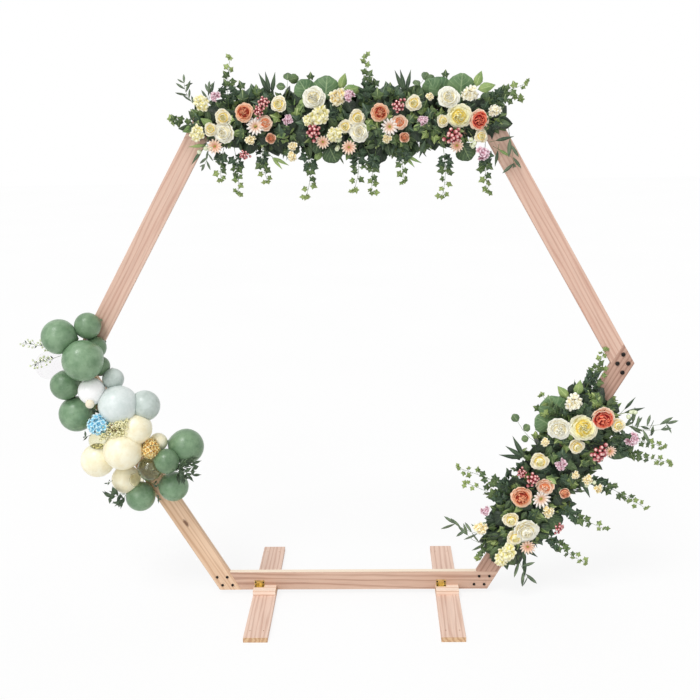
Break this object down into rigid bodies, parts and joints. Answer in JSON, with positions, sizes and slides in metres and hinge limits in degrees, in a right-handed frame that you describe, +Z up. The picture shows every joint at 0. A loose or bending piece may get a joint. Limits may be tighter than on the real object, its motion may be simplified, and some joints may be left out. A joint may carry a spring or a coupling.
{
  "type": "hexagonal wooden wedding arch",
  "caption": "Freestanding hexagonal timber arch on cross planks, dressed with silk flower swags and a balloon garland, for ceremonies and photo backdrops.",
  "frame": {"origin": "on the floor under the middle of the bottom board, halfway through its thickness", "axes": "+X to the right seen from the front, -Y to the front, +Z up"},
  "size_m": [2.5668, 0.78, 2.1263],
  "materials": {
    "timber_bottom": "matte",
    "timber_lower": "matte",
    "timber_upper": "matte",
    "timber_foot": "matte",
    "timber_cleat": "matte",
    "bracket_brass": "satin",
    "leaf_green": "matte",
    "petal_white": "matte",
    "petal_orange": "matte",
    "petal_yellow": "matte",
    "petal_daisy": "matte",
    "berry_red": "satin",
    "balloon_green": "satin",
    "balloon_blue": "satin",
    "balloon_cream": "satin",
    "balloon_white": "satin",
    "balloon_clear": "gloss",
    "petal_blue": "matte",
    "petal_apricot": "matte"
  },
  "bodies": {
    "root": {"beam_bottom": "timber_bottom", "beam_lower_right": "timber_lower", "beam_upper_right": "timber_upper", "beam_top": "timber_upper", "beam_upper_left": "timber_upper", "beam_lower_left": "timber_lower", "foot_plank_left": "timber_foot", "foot_plank_right": "timber_foot", "cleat_left_front": "timber_cleat", "cleat_left_rear": "timber_cleat", "cleat_right_front": "timber_cleat", "cleat_right_rear": "timber_cleat", "bracket_left_front": "bracket_brass", "bracket_left_rear": "bracket_brass", "bracket_right_front": "bracket_brass", "bracket_right_rear": "bracket_brass", "top_swag_leaves": "leaf_green", "top_swag_white_roses": "petal_white", "top_swag_orange_roses": "petal_orange", "top_swag_yellow_roses": "petal_yellow", "top_swag_daisies": "petal_daisy", "top_swag_berries": "berry_red", "top_swag_trails": "leaf_green", "right_swag_leaves": "leaf_green", "right_swag_white_roses": "petal_white", "right_swag_orange_roses": "petal_orange", "right_swag_yellow_roses": "petal_yellow", "right_swag_daisies": "petal_daisy", "right_swag_berries": "berry_red", "right_swag_trails": "leaf_green", "balloons_green_upper": "balloon_green", "balloons_green_lower": "balloon_green", "balloons_blue": "balloon_blue", "balloons_cream": "balloon_cream", "balloons_white": "balloon_white", "balloons_clear": "balloon_clear", "garland_leaves": "leaf_green", "hydrangea_blue": "petal_blue", "hydrangea_orange": "petal_apricot"}
  },
  "joints": []
}
